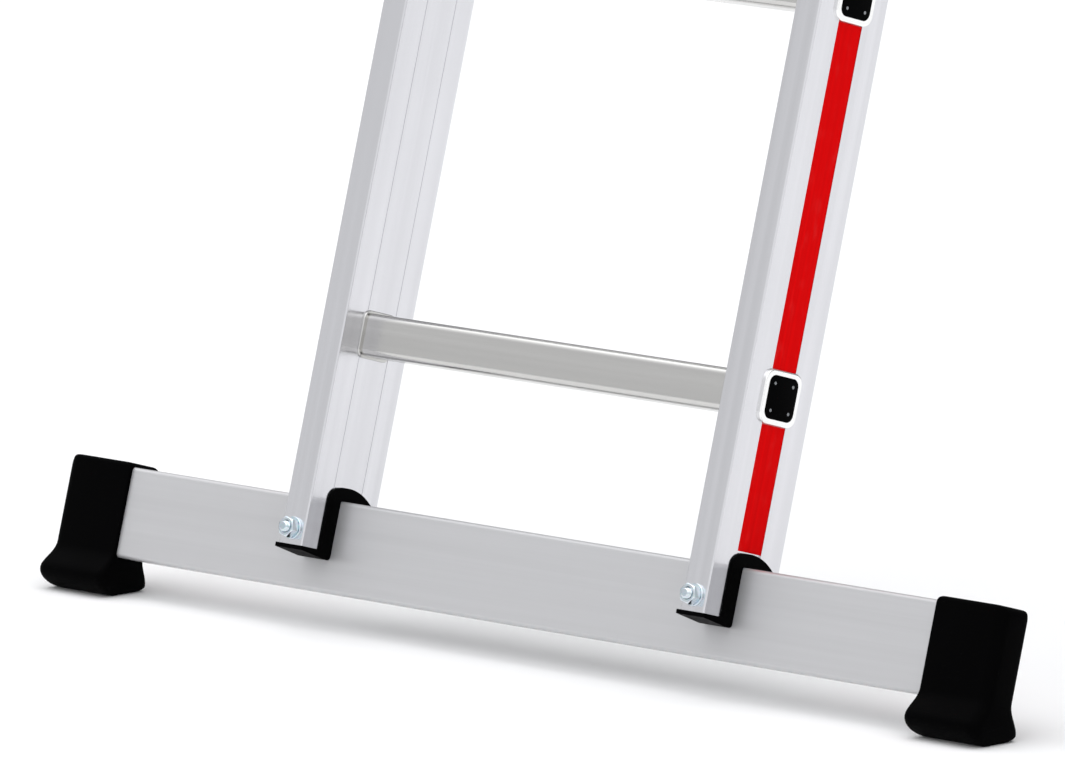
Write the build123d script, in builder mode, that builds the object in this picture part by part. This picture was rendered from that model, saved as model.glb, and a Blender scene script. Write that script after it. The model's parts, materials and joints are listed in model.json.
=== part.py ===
"""Push-up extension ladder: a base section on a stabiliser bar and a fly section that slides on it.

Every piece is drawn in the ladder's own upright frame, in millimetres:
    X  across the ladder, to the climber's right
    Y  through the ladder, from the climber's side to the wall's side
    Z  along the stiles, upwards
and is then leaned back by LEAN about the X axis, so that the soles lie flat on the floor, Z = 0.
The origin is the point of the floor midway between the two feet.
"""

import os
from math import cos, radians, sin, tan

from build123d import *

os.makedirs("parts", exist_ok=True)

SIDES = {"left": -1, "right": 1}

# Driving dimensions of the whole ladder
LEAN = 16.0  # degrees back from upright
OUTER_WIDTH = 400.0
RUNG_PITCH = 280.0
RUNGS = 8  # in each section
FLY_OFFSET = 2  # the fly's first rung rests level with this many pitches above the base's first
SECTION_GAP = 3.0  # between the two sections' stiles

# Stile extrusion
STILE_WIDTH = 22.0
STILE_DEPTH = 70.0
STILE_CORNER = 1.5
SIDE_WALL = 1.8
EDGE_WALL = 2.4
STRIPE_WIDTH = 25.0
STRIPE_RECESS = 1.2
STRIPE_THICKNESS = 0.9
STRIPE_PLAY = 0.2
GROOVE_WIDTH = 1.0
GROOVE_DEPTH = 0.3
GROOVE_OFFSETS = (-13.5, 16.0)  # of the inner side's two grooves, from mid-depth
STILE_ABOVE_TOP_RUNG = 120.0
FLY_BELOW_FIRST_RUNG = 135.0

# Rungs
RUNG_SIZE = 30.0
RUNG_CORNER = 5.0
RUNG_WALL = 1.6
RUNG_RIBS = 5
RUNG_RIB_PITCH = 4.4
RUNG_RIB_WIDTH = 1.2
RUNG_RIB_DEPTH = 0.5
RUNG_LINE_WIDTH = 1.4  # shallow line along the middle of the front and rear faces
RUNG_LINE_DEPTH = 0.3
FLARE_SIZE = 38.0
FLARE_CORNER = 8.0
FLARE_PROUD = 2.3
FLARE_FLOOR = 1.0
BEAD_SIZE = 33.0
BEAD_CORNER = 6.0
BEAD_WIDTH = 1.6
PLUG_SIZE = 30.4
PLUG_PROUD = 0.4
PLUG_DEPTH = 12.0
PLUG_DIMPLE = 1.0
PLUG_DIMPLE_PITCH = 18.8

# Traverse, across the foot of the base section; its middle is at Y = 0
TRAVERSE_DEPTH = 25.0
TRAVERSE_HEIGHT = 65.0
TRAVERSE_BOTTOM = 26.0
TRAVERSE_WALL = 2.5
TRAVERSE_CORNER = 3.0
BASE_FRONT = -42.0  # front faces of the base stiles
FIRST_RUNG = 209.0

# Foot cap, which lines the notch in a base stile
TONGUE_BACK = -24.1
TONGUE_BOTTOM = 54.6
CAP_PROUD = 2.0
CAP_CREST = 9.6
CAP_SHOULDER = (8.3, 8.6)  # end of the crest's first arc, behind the tongue and above the traverse
CAP_SUMMIT = -4.0  # the crest's highest point
CAP_TAIL = 20.0
CAP_TOE_THICKNESS = 3.0
CAP_HEEL_THICKNESS = 6.2
CAP_INSERT_TOP = 86.0
INSERT_PLAY = 0.1

# End caps of the stiles
CAP_ROUNDING = 0.45  # of the head's height
CAP_WALL = 3.0
BASE_TOP_HEAD = 4.0
FLY_TOP_HEAD = 5.0
FLY_BOTTOM_HEAD = 6.0

# M8 fasteners of the traverse
BOLT_RADIUS = 4.0
BOLT_HOLE_RADIUS = 4.25
BOLT_HEIGHT = 66.0
NUT_ACROSS_FLATS = 13.0
NUT_THICKNESS = 6.5
HEAD_THICKNESS = 5.3
WASHER_RADIUS = 8.0
WASHER_THICKNESS = 1.6
BOLT_STUB = 3.0

# Rubber boots on the traverse's ends
BOOT_INNER = 379.0
BOOT_OUTER = 440.0
BOOT_WALL = 3.0
BOOT_WAIST = 31.0
BOOT_FLARE_HEIGHT = 10.0
BOOT_TOE = -26.0
BOOT_HEEL = 23.5
BOOT_SIDE_FLARE = 2.5
BOOT_CORNER = 8.0
BOOT_TOP_EDGE = 1.8
BOOT_MID_FLARE = 0.42  # share of the flare reached halfway down to BOOT_FLARE_HEIGHT
SOLE_FRONT = -5.4
TOE_CURVE = [(-27.0, 9.0), (-22.0, 3.6), (-14.0, 0.4)]  # from the toe towards SOLE_FRONT
TOE_STEEPNESS = 2.2

# Guides that keep the sections together
PLATE = 2.5
GUIDE_PLAY = 0.5
GUIDE_REACH = 5.5  # joggle, to clear the flares
GUIDE_BEND = (-1.5, 4.5)  # where the joggle starts and ends, past the stile's edge
GUIDE_BEND_SHIFT = 0.5  # of the joggle's outer face, for a constant thickness
GUIDE_WRAP = 13.7  # how far the lip reaches across the other stile's edge
LINER = 2.5
LINER_FLANGE = 12.0
GUIDE_HEIGHT = 58.0
BASE_GUIDE_BELOW_TOP = 84.0
FLY_GUIDE_ABOVE_FOOT = 13.0
LINER_MARGIN = 2.0
GUIDE_PLATE_WIDTH = 20.0
RIVET_RADIUS = 2.4
RIVET_HEAD_RADIUS = 4.5
RIVET_HEAD = 1.8
RIVET_HEAD_TAPER = 25.0
RIVET_TAIL_RADIUS = 3.8
RIVET_TAIL = 2.2
GUIDE_RIVET_HEIGHTS = (14.0, 44.0)  # above the guide's lower edge
GUIDE_RIVET_INSET = 9.5  # from the stile's edge

# Rung hooks
PIVOT_BEHIND_FRONT = 9.0  # pivot, behind the base stiles' front faces
PIVOT_ABOVE_RUNG = 90.0
PIN_RADIUS = 4.0
PIN_PLAY = 0.06
PIN_HEAD_RADIUS = 7.0
PIN_HEAD = 2.5
HOOK_THICKNESS = 9.0
HOOK_OUTER_FACE = 172.0
HOOK_REACH = 91.0
HOOK_FINGER = 12.0
HOOK_TIP_ANGLE = 25.0
HOOK_HEEL_ANGLE = -4.0
HOOK_BOSS_RADIUS = 11.0
HOOK_ARM_WIDTH = 12.0
GRIP_LENGTH = 14.0
GRIP_WIDTH = 9.0
GRIP_CORNER = 3.6
GRIP_HEIGHT = 22.0
GRIP_DROP = 50.0
BRACKET_THICKNESS = 3.0
BRACKET_RELIEF = 0.5
BRACKET_HEIGHT = 56.0
BRACKET_BOSS = 6.5
BRACKET_SPACER = 2.3
BRACKET_FRONT_INSET = 5.0  # from the fly stile's front edge
BRACKET_BACK_INSET = 4.0  # from its rear edge, where the bracket starts to taper
BRACKET_RIVET_OFFSETS = (-23.0, 25.0)  # from the stile's mid-depth
BRACKET_RIVET_RISE = 16.0  # above and below the pivot
SPRING_WIRE = 0.8  # radius
SPRING_RADIUS = 5.3
SPRING_TURNS = 4
SPRING_PITCH = 1.44
SPRING_PLAY = 0.5
SPRING_LEG = 15.0
BRACKET_REST = 2.0  # bracket above the spring's leg, which ends against it

# Places that follow from them
HALF = OUTER_WIDTH / 2
INNER = HALF - STILE_WIDTH
STILE_X = HALF - STILE_WIDTH / 2
BASE_Y = BASE_FRONT + STILE_DEPTH / 2
FLY_Y = BASE_Y - STILE_DEPTH - SECTION_GAP
FLY_FRONT = FLY_Y - STILE_DEPTH / 2
FLY_BACK = FLY_Y + STILE_DEPTH / 2
BASE_RUNGS = [FIRST_RUNG + RUNG_PITCH * i for i in range(RUNGS)]
FLY_RUNGS = [z + RUNG_PITCH * FLY_OFFSET for z in BASE_RUNGS]
BASE_TOP = BASE_RUNGS[-1] + STILE_ABOVE_TOP_RUNG
FLY_TOP = FLY_RUNGS[-1] + STILE_ABOVE_TOP_RUNG
FLY_FOOT = FLY_RUNGS[0] - FLY_BELOW_FIRST_RUNG
TRAVERSE_TOP = TRAVERSE_BOTTOM + TRAVERSE_HEIGHT
TRAVERSE_Z = TRAVERSE_BOTTOM + TRAVERSE_HEIGHT / 2
BASE_GUIDE_FOOT = BASE_TOP - BASE_GUIDE_BELOW_TOP
FLY_GUIDE_FOOT = FLY_FOOT + FLY_GUIDE_ABOVE_FOOT
PIVOT_Y = BASE_FRONT + PIVOT_BEHIND_FRONT
PIVOT_Z = FLY_RUNGS[0] + RUNG_SIZE / 2 + PIVOT_ABOVE_RUNG
BRACKET_FOOT = PIVOT_Z - BRACKET_HEIGHT / 2
BRACKET_RIVETS = [
    (FLY_Y + offset, PIVOT_Z + rise)
    for offset in BRACKET_RIVET_OFFSETS
    for rise in (-BRACKET_RIVET_RISE, BRACKET_RIVET_RISE)
]


def keep(piece, name):
    """Lean a finished piece back, label it and write its STEP file."""
    leaned = piece.part.rotate(Axis.X, -LEAN)
    leaned.label = name
    export_step(leaned, f"parts/{name}.step")


# Stiles -----------------------------------------------------------------------------------


def draw_stile_section(side, y):
    """Hollow box, with a stepped recess for the stripe outside and two grooves inside."""
    outer = side * HALF
    inner = side * INNER
    with Locations((side * STILE_X, y)):
        RectangleRounded(STILE_WIDTH, STILE_DEPTH, STILE_CORNER)
        Rectangle(STILE_WIDTH - 2 * SIDE_WALL, STILE_DEPTH - 2 * EDGE_WALL, mode=Mode.SUBTRACT)
    with Locations((outer - side * (STRIPE_RECESS + SIDE_WALL) / 2, y)):
        Rectangle(STRIPE_RECESS + SIDE_WALL, STRIPE_WIDTH + 2 * SIDE_WALL)
    with Locations((outer, y)):
        Rectangle(2 * STRIPE_RECESS, STRIPE_WIDTH, mode=Mode.SUBTRACT)
    with Locations([(inner, y + offset) for offset in GROOVE_OFFSETS]):
        Rectangle(2 * GROOVE_DEPTH, GROOVE_WIDTH, mode=Mode.SUBTRACT)


def cut_rung_holes(side, y, heights):
    with BuildSketch(Plane.YZ.offset(side * INNER)) as holes:
        with Locations([(y, z) for z in heights]):
            RectangleRounded(RUNG_SIZE, RUNG_SIZE, RUNG_CORNER)
    extrude(holes.sketch, amount=side * STILE_WIDTH, mode=Mode.SUBTRACT)


def cut_rivet_holes(face_x, amount, places):
    """Round holes along X, from the plane X = face_x, at the given (Y, Z) places."""
    with BuildSketch(Plane.YZ.offset(face_x)) as holes:
        with Locations(places):
            Circle(RIVET_RADIUS)
    extrude(holes.sketch, amount=amount, mode=Mode.SUBTRACT)


def draw_crest():
    """The foot cap's rounded outline, from the tongue's back over the traverse to its tail."""
    shoulder = (TONGUE_BACK + CAP_SHOULDER[0], TRAVERSE_TOP + CAP_SHOULDER[1])
    TangentArc((TONGUE_BACK, TRAVERSE_TOP), shoulder, tangent=(0, 1))
    summit = (CAP_SUMMIT, TRAVERSE_TOP + CAP_CREST)
    ThreePointArc(shoulder, summit, (CAP_TAIL, TRAVERSE_TOP))


def rivet_places(stile_edge, toward_middle, guide_foot):
    y = stile_edge + toward_middle * GUIDE_RIVET_INSET
    return [(y, guide_foot + height) for height in GUIDE_RIVET_HEIGHTS]


BASE_GUIDE_RIVETS = rivet_places(BASE_FRONT, 1, BASE_GUIDE_FOOT)
FLY_GUIDE_RIVETS = rivet_places(FLY_BACK, -1, FLY_GUIDE_FOOT)

for name, side in SIDES.items():
    with BuildPart() as base_stile:
        with BuildSketch(Plane.XY.offset(TONGUE_BOTTOM)):
            draw_stile_section(side, BASE_Y)
        extrude(amount=BASE_TOP - TONGUE_BOTTOM)
        cut_rung_holes(side, BASE_Y, BASE_RUNGS)
        with BuildSketch(Plane.YZ.offset(side * (INNER - CAP_PROUD))):
            with BuildLine():
                draw_crest()
                Polyline(
                    (CAP_TAIL, TRAVERSE_TOP),
                    (STILE_DEPTH, TRAVERSE_TOP),
                    (STILE_DEPTH, 0),
                    (TONGUE_BACK, 0),
                    (TONGUE_BACK, TRAVERSE_TOP),
                )
            make_face()
        extrude(amount=side * (STILE_WIDTH + 2 * CAP_PROUD), mode=Mode.SUBTRACT)
        with BuildSketch(Plane.XZ.offset(-BASE_FRONT)):
            with Locations((side * STILE_X, BOLT_HEIGHT)):
                Circle(BOLT_HOLE_RADIUS)
        extrude(amount=-(TONGUE_BACK - BASE_FRONT), mode=Mode.SUBTRACT)
        cut_rivet_holes(side * HALF, -side * SIDE_WALL, BASE_GUIDE_RIVETS)
    keep(base_stile, f"base_stile_{name}")

    with BuildPart() as fly_stile:
        with BuildSketch(Plane.XY.offset(FLY_FOOT)):
            draw_stile_section(side, FLY_Y)
        extrude(amount=FLY_TOP - FLY_FOOT)
        cut_rung_holes(side, FLY_Y, FLY_RUNGS)
        cut_rivet_holes(side * HALF, -side * SIDE_WALL, FLY_GUIDE_RIVETS)
        cut_rivet_holes(side * INNER, side * SIDE_WALL, BRACKET_RIVETS)
    keep(fly_stile, f"fly_stile_{name}")


# Stripes ----------------------------------------------------------------------------------


def stripe_runs(foot, top, rungs):
    """(middle, length) of each length of stripe: it stops at every flare."""
    half_flare = FLARE_SIZE / 2 + STRIPE_PLAY
    lows = [foot] + [z + half_flare for z in rungs]
    highs = [z - half_flare for z in rungs] + [top]
    return [((low + high) / 2, high - low) for low, high in zip(lows, highs)]


SECTIONS = {
    "base": (BASE_Y, TRAVERSE_TOP + CAP_CREST + 4 * STRIPE_PLAY, BASE_TOP, BASE_RUNGS),
    "fly": (FLY_Y, FLY_FOOT, FLY_TOP, FLY_RUNGS),
}

for section, (y, foot, top, rungs) in SECTIONS.items():
    for name, side in SIDES.items():
        with BuildPart() as stripe:
            with BuildSketch(Plane.YZ.offset(side * (HALF - STRIPE_RECESS))):
                for middle, length in stripe_runs(foot, top, rungs):
                    with Locations((y, middle)):
                        Rectangle(STRIPE_WIDTH - STRIPE_PLAY, length)
            extrude(amount=side * STRIPE_THICKNESS)
        keep(stripe, f"{section}_stripe_{name}")


# Rungs and their plugs ----------------------------------------------------------------------

for section, (y, _, _, rungs) in SECTIONS.items():
    for number, z in enumerate(rungs, start=1):
        with BuildPart() as rung:
            with BuildSketch(Plane.YZ.offset(-HALF)):
                with Locations((y, z)):
                    RectangleRounded(RUNG_SIZE, RUNG_SIZE, RUNG_CORNER)
                    RectangleRounded(
                        RUNG_SIZE - 2 * RUNG_WALL,
                        RUNG_SIZE - 2 * RUNG_WALL,
                        RUNG_CORNER - RUNG_WALL,
                        mode=Mode.SUBTRACT,
                    )
            extrude(amount=OUTER_WIDTH)
            with BuildSketch(Plane.YZ.offset(-INNER)):
                with Locations((y, z + RUNG_SIZE / 2)):
                    with GridLocations(RUNG_RIB_PITCH, 1, RUNG_RIBS, 1):
                        Rectangle(RUNG_RIB_WIDTH, 2 * RUNG_RIB_DEPTH)
                with Locations((y, z)):
                    with GridLocations(RUNG_SIZE, 1, 2, 1):
                        Rectangle(2 * RUNG_LINE_DEPTH, RUNG_LINE_WIDTH)
            extrude(amount=2 * INNER, mode=Mode.SUBTRACT)
            for side in SIDES.values():
                with BuildSketch(Plane.YZ.offset(side * INNER)):
                    with Locations((y, z)):
                        RectangleRounded(BEAD_SIZE, BEAD_SIZE, BEAD_CORNER)
                        Rectangle(RUNG_SIZE - RUNG_WALL, RUNG_SIZE - RUNG_WALL, mode=Mode.SUBTRACT)
                extrude(amount=-side * BEAD_WIDTH)
                with BuildSketch(Plane.YZ.offset(side * HALF)):
                    with Locations((y, z)):
                        RectangleRounded(FLARE_SIZE, FLARE_SIZE, FLARE_CORNER)
                extrude(amount=side * FLARE_PROUD)
                outer_rim = edges().filter_by(Plane.YZ).group_by(Axis.X)[-1 if side > 0 else 0]
                fillet(outer_rim, FLARE_PROUD / 2)
                with BuildSketch(Plane.YZ.offset(side * (HALF + FLARE_FLOOR))):
                    with Locations((y, z)):
                        RectangleRounded(PLUG_SIZE, PLUG_SIZE, RUNG_CORNER + 1)
                extrude(amount=side * FLARE_PROUD, mode=Mode.SUBTRACT)
                with BuildSketch(Plane.YZ.offset(side * HALF)):
                    with Locations((y, z)):
                        RectangleRounded(
                            RUNG_SIZE - 2 * RUNG_WALL,
                            RUNG_SIZE - 2 * RUNG_WALL,
                            RUNG_CORNER - RUNG_WALL,
                        )
                extrude(amount=side * FLARE_FLOOR, mode=Mode.SUBTRACT)
        keep(rung, f"{section}_rung_{number}")

    with BuildPart() as plugs:
        for side in SIDES.values():
            places = [(y, z) for z in rungs]
            with BuildSketch(Plane.YZ.offset(side * (HALF + FLARE_FLOOR))):
                with Locations(places):
                    RectangleRounded(PLUG_SIZE, PLUG_SIZE, RUNG_CORNER + 1)
            extrude(amount=side * (FLARE_PROUD - FLARE_FLOOR + PLUG_PROUD))
            with BuildSketch(Plane.YZ.offset(side * (HALF + FLARE_FLOOR))):
                with Locations(places):
                    RectangleRounded(
                        RUNG_SIZE - 2 * RUNG_WALL,
                        RUNG_SIZE - 2 * RUNG_WALL,
                        RUNG_CORNER - RUNG_WALL,
                    )
            extrude(amount=-side * PLUG_DEPTH)
            with BuildSketch(Plane.YZ.offset(side * (HALF + FLARE_PROUD + PLUG_PROUD))):
                with Locations(places):
                    with GridLocations(PLUG_DIMPLE_PITCH, PLUG_DIMPLE_PITCH, 2, 2):
                        Circle(PLUG_DIMPLE)
            extrude(amount=-side * PLUG_DIMPLE / 2, mode=Mode.SUBTRACT)
    keep(plugs, f"{section}_rung_plugs")


# Traverse, its boots and its fasteners ------------------------------------------------------

BOOT_END_WALL = BOOT_OUTER - BOOT_WALL
with BuildPart() as traverse:
    with BuildSketch(Plane.YZ.offset(-BOOT_END_WALL)):
        with Locations((0, TRAVERSE_Z)):
            RectangleRounded(TRAVERSE_DEPTH, TRAVERSE_HEIGHT, TRAVERSE_CORNER)
            RectangleRounded(
                TRAVERSE_DEPTH - 2 * TRAVERSE_WALL,
                TRAVERSE_HEIGHT - 2 * TRAVERSE_WALL,
                TRAVERSE_CORNER - TRAVERSE_WALL,
                mode=Mode.SUBTRACT,
            )
    extrude(amount=2 * BOOT_END_WALL)
    with BuildSketch(Plane.XZ.offset(-TRAVERSE_DEPTH)):
        with Locations([(side * STILE_X, BOLT_HEIGHT) for side in SIDES.values()]):
            Circle(BOLT_HOLE_RADIUS)
    extrude(amount=2 * TRAVERSE_DEPTH, mode=Mode.SUBTRACT)
keep(traverse, "traverse")


def draw_boot_section(side, inner, outer, front, back):
    """Plan of the boot: its inner corners nearly sharp, its outer corners rounded."""
    with Locations((side * (inner + outer) / 2, (front + back) / 2)):
        plan = Rectangle(outer - inner, back - front)
    corners = plan.vertices().sort_by(Axis.X)
    near, far = (corners[:2], corners[2:]) if side > 0 else (corners[2:], corners[:2])
    fillet(far, BOOT_CORNER)
    fillet(near, BOOT_WALL / 2)


HALF_SLEEVE = TRAVERSE_DEPTH / 2 + BOOT_WALL
BOOT_TOP = TRAVERSE_TOP + BOOT_WALL
BOOT_SECTIONS = [  # height, how far it has flared from 0 to 1
    (BOOT_WAIST, 0.0),
    ((BOOT_WAIST + BOOT_FLARE_HEIGHT) / 2, BOOT_MID_FLARE),
    (BOOT_FLARE_HEIGHT, 1.0),
]

for name, side in SIDES.items():
    with BuildPart() as boot:
        for height, flared in BOOT_SECTIONS:
            with BuildSketch(Plane.XY.offset(height)):
                draw_boot_section(
                    side,
                    BOOT_INNER - flared * BOOT_SIDE_FLARE,
                    BOOT_OUTER + flared * BOOT_SIDE_FLARE,
                    -HALF_SLEEVE + flared * (BOOT_TOE + HALF_SLEEVE),
                    HALF_SLEEVE + flared * (BOOT_HEEL - HALF_SLEEVE),
                )
        loft()
        with BuildSketch(Plane.XY.offset(BOOT_WAIST)):
            draw_boot_section(side, BOOT_INNER, BOOT_OUTER, -HALF_SLEEVE, HALF_SLEEVE)
        extrude(amount=BOOT_TOP - BOOT_WAIST)
        top_edges = faces().sort_by(Axis.Z)[-1].edges()
        fillet(top_edges, BOOT_TOP_EDGE)
        with BuildSketch(Plane.XY.offset(BOOT_FLARE_HEIGHT)):
            draw_boot_section(
                side,
                BOOT_INNER - BOOT_SIDE_FLARE,
                BOOT_OUTER + BOOT_SIDE_FLARE,
                BOOT_TOE,
                BOOT_HEEL,
            )
        extrude(amount=-2 * BOOT_FLARE_HEIGHT)
        slope = tan(radians(LEAN))
        with BuildSketch(Plane.YZ.offset(side * (BOOT_INNER + BOOT_OUTER) / 2)):
            with BuildLine():
                sole_start = (SOLE_FRONT, SOLE_FRONT * slope)
                sole_end = (STILE_DEPTH, STILE_DEPTH * slope)
                Spline(*TOE_CURVE, sole_start, tangents=[(1, -TOE_STEEPNESS), (1, slope)])
                Polyline(
                    sole_start,
                    sole_end,
                    (STILE_DEPTH, -STILE_DEPTH),
                    (TOE_CURVE[0][0], -STILE_DEPTH),
                    TOE_CURVE[0],
                )
            make_face()
        extrude(amount=BOOT_OUTER - BOOT_INNER, both=True, mode=Mode.SUBTRACT)
        with BuildSketch(Plane.YZ.offset(side * (BOOT_INNER - 2 * BOOT_SIDE_FLARE))):
            with Locations((0, TRAVERSE_Z)):
                RectangleRounded(TRAVERSE_DEPTH, TRAVERSE_HEIGHT, TRAVERSE_CORNER)
        extrude(
            amount=side * (BOOT_END_WALL - BOOT_INNER + 2 * BOOT_SIDE_FLARE), mode=Mode.SUBTRACT
        )
    keep(boot, f"traverse_foot_{name}")

    with BuildPart() as foot_cap:
        with BuildSketch(Plane.YZ.offset(side * (INNER - CAP_PROUD))):
            with BuildLine():
                draw_crest()
                front = -TRAVERSE_DEPTH / 2
                heel = TONGUE_BOTTOM - CAP_HEEL_THICKNESS
                Polyline(
                    (CAP_TAIL, TRAVERSE_TOP),
                    (front, TRAVERSE_TOP),
                    (front, heel + CAP_HEEL_THICKNESS / 2),
                )
                TangentArc(
                    (front, heel + CAP_HEEL_THICKNESS / 2),
                    (front - CAP_HEEL_THICKNESS / 2, heel),
                    tangent=(0, -1),
                )
                Polyline(
                    (front - CAP_HEEL_THICKNESS / 2, heel),
                    (TONGUE_BACK + CAP_HEEL_THICKNESS, heel),
                    (BASE_FRONT - 1, TONGUE_BOTTOM - CAP_TOE_THICKNESS),
                    (BASE_FRONT - 1, TONGUE_BOTTOM),
                    (TONGUE_BACK, TONGUE_BOTTOM),
                    (TONGUE_BACK, TRAVERSE_TOP),
                )
            make_face()
        extrude(amount=side * (STILE_WIDTH + 2 * CAP_PROUD))
        insert_front = BASE_FRONT + EDGE_WALL + INSERT_PLAY
        insert_middle = (insert_front + TONGUE_BACK) / 2
        with BuildSketch(Plane.XY.offset(TONGUE_BOTTOM)):
            with Locations((side * STILE_X, insert_middle)):
                Rectangle(
                    STILE_WIDTH - 2 * (SIDE_WALL + INSERT_PLAY),
                    TONGUE_BACK - insert_front,
                )
        extrude(amount=CAP_INSERT_TOP - TONGUE_BOTTOM)
        with BuildSketch(Plane.XZ.offset(-BASE_FRONT)):
            with Locations((side * STILE_X, BOLT_HEIGHT)):
                Circle(BOLT_HOLE_RADIUS)
        extrude(amount=BASE_FRONT, mode=Mode.SUBTRACT)
    keep(foot_cap, f"base_foot_cap_{name}")

BOLT_PLACES = [(side * STILE_X, BOLT_HEIGHT) for side in SIDES.values()]
REAR_WASHER = TRAVERSE_DEPTH / 2
NUT_SEAT = BASE_FRONT - WASHER_THICKNESS
BOLT_TIP = NUT_SEAT - NUT_THICKNESS - BOLT_STUB
BOLT_SEAT = REAR_WASHER + WASHER_THICKNESS

with BuildPart() as bolts:
    with BuildSketch(Plane.XZ.offset(-BOLT_SEAT)):
        with Locations(BOLT_PLACES):
            Circle(BOLT_RADIUS)
    extrude(amount=BOLT_SEAT - BOLT_TIP)
    chamfer(edges().group_by(Axis.Y)[0], BOLT_RADIUS / 4)
    with BuildSketch(Plane.XZ.offset(-BOLT_SEAT)):
        with Locations(BOLT_PLACES):
            RegularPolygon(NUT_ACROSS_FLATS / 2, 6, major_radius=False)
    extrude(amount=-HEAD_THICKNESS)
keep(bolts, "traverse_bolts")

with BuildPart() as nuts:
    with BuildSketch(Plane.XZ.offset(-NUT_SEAT)):
        with Locations(BOLT_PLACES):
            RegularPolygon(NUT_ACROSS_FLATS / 2, 6, major_radius=False)
            Circle(BOLT_RADIUS, mode=Mode.SUBTRACT)
    extrude(amount=NUT_THICKNESS)
keep(nuts, "traverse_nuts")

with BuildPart() as washers:
    for seat in (BASE_FRONT, BOLT_SEAT):
        with BuildSketch(Plane.XZ.offset(-seat)):
            with Locations(BOLT_PLACES):
                Circle(WASHER_RADIUS)
                Circle(BOLT_RADIUS, mode=Mode.SUBTRACT)
        extrude(amount=WASHER_THICKNESS)
keep(washers, "traverse_washers")


# End caps of the stiles -----------------------------------------------------------------------


def make_end_cap(side, y, end, outward, head):
    """Plastic cap: a head as large as the stile, and a hollow plug inside it."""
    with BuildPart() as cap:
        with BuildSketch(Plane.XY.offset(end)):
            with Locations((side * STILE_X, y)):
                RectangleRounded(STILE_WIDTH, STILE_DEPTH, STILE_CORNER)
        extrude(amount=outward * head)
        rim = cap.faces().sort_by(Axis.Z)[-1 if outward > 0 else 0].edges()
        fillet(rim, head * CAP_ROUNDING)
        plug_width = STILE_WIDTH - 2 * (SIDE_WALL + INSERT_PLAY) - STRIPE_RECESS
        with BuildSketch(Plane.XY.offset(end)):
            with Locations((side * (STILE_X - STRIPE_RECESS / 2), y)):
                Rectangle(plug_width, STILE_DEPTH - 2 * (EDGE_WALL + INSERT_PLAY))
                Rectangle(
                    plug_width - 2 * CAP_WALL,
                    STILE_DEPTH - 2 * (EDGE_WALL + CAP_WALL),
                    mode=Mode.SUBTRACT,
                )
        extrude(amount=-outward * PLUG_DEPTH)
    return cap


END_CAPS = {
    "base_top_cap": (BASE_Y, BASE_TOP, 1, BASE_TOP_HEAD),
    "fly_top_cap": (FLY_Y, FLY_TOP, 1, FLY_TOP_HEAD),
    "fly_bottom_cap": (FLY_Y, FLY_FOOT, -1, FLY_BOTTOM_HEAD),
}
for cap_name, (y, end, outward, head) in END_CAPS.items():
    for name, side in SIDES.items():
        keep(make_end_cap(side, y, end, outward, head), f"{cap_name}_{name}")


# Guides ---------------------------------------------------------------------------------------


def make_guide(side, edge, toward, foot, rivets):
    """Bent steel strip: riveted beside one stile's edge, joggled outward and hooked round the
    other section's stile. toward is the Y direction in which it reaches."""
    plate_end = edge - toward * GUIDE_PLATE_WIDTH
    lip_near = edge + toward * (SECTION_GAP + STILE_DEPTH + GUIDE_PLAY + LINER)
    lip_far = lip_near + toward * PLATE
    bend_start = edge + toward * GUIDE_BEND[0]
    bend_end = edge + toward * GUIDE_BEND[1]
    joggled = HALF + GUIDE_REACH
    outline = [
        (HALF, plate_end),
        (HALF + PLATE, plate_end),
        (HALF + PLATE, bend_start - toward * GUIDE_BEND_SHIFT),
        (joggled + PLATE, bend_end - toward * GUIDE_BEND_SHIFT),
        (joggled + PLATE, lip_far),
        (HALF - GUIDE_WRAP, lip_far),
        (HALF - GUIDE_WRAP, lip_near),
        (joggled, lip_near),
        (joggled, bend_end),
        (HALF, bend_start),
    ]
    with BuildPart() as guide:
        with BuildSketch(Plane.XY.offset(foot)):
            with BuildLine():
                Polyline([(side * x, y) for x, y in outline], close=True)
            make_face()
        extrude(amount=GUIDE_HEIGHT)
        upright = guide.edges().filter_by(Axis.Z)
        outer_bend = upright.sort_by_distance((side * (joggled + PLATE), lip_far, foot))[0]
        fillet(outer_bend, PLATE)
        cut_rivet_holes(side * HALF, side * PLATE, rivets)
    return guide


def add_liner(side, edge, toward, foot):
    """L-shaped sliding strip in the corner of a guide."""
    lip_near = edge + toward * (SECTION_GAP + STILE_DEPTH + GUIDE_PLAY + LINER)
    inside = HALF + GUIDE_PLAY
    joggled = HALF + GUIDE_REACH
    flange = lip_near - toward * (LINER + LINER_FLANGE)
    outline = [
        (HALF - GUIDE_WRAP, lip_near),
        (joggled, lip_near),
        (joggled, flange),
        (inside, flange),
        (inside, lip_near - toward * LINER),
        (HALF - GUIDE_WRAP, lip_near - toward * LINER),
    ]
    with BuildSketch(Plane.XY.offset(foot + LINER_MARGIN)) as section:
        with BuildLine():
            Polyline([(side * x, y) for x, y in outline], close=True)
        make_face()
    extrude(section.sketch, amount=GUIDE_HEIGHT - 2 * LINER_MARGIN)


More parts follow.
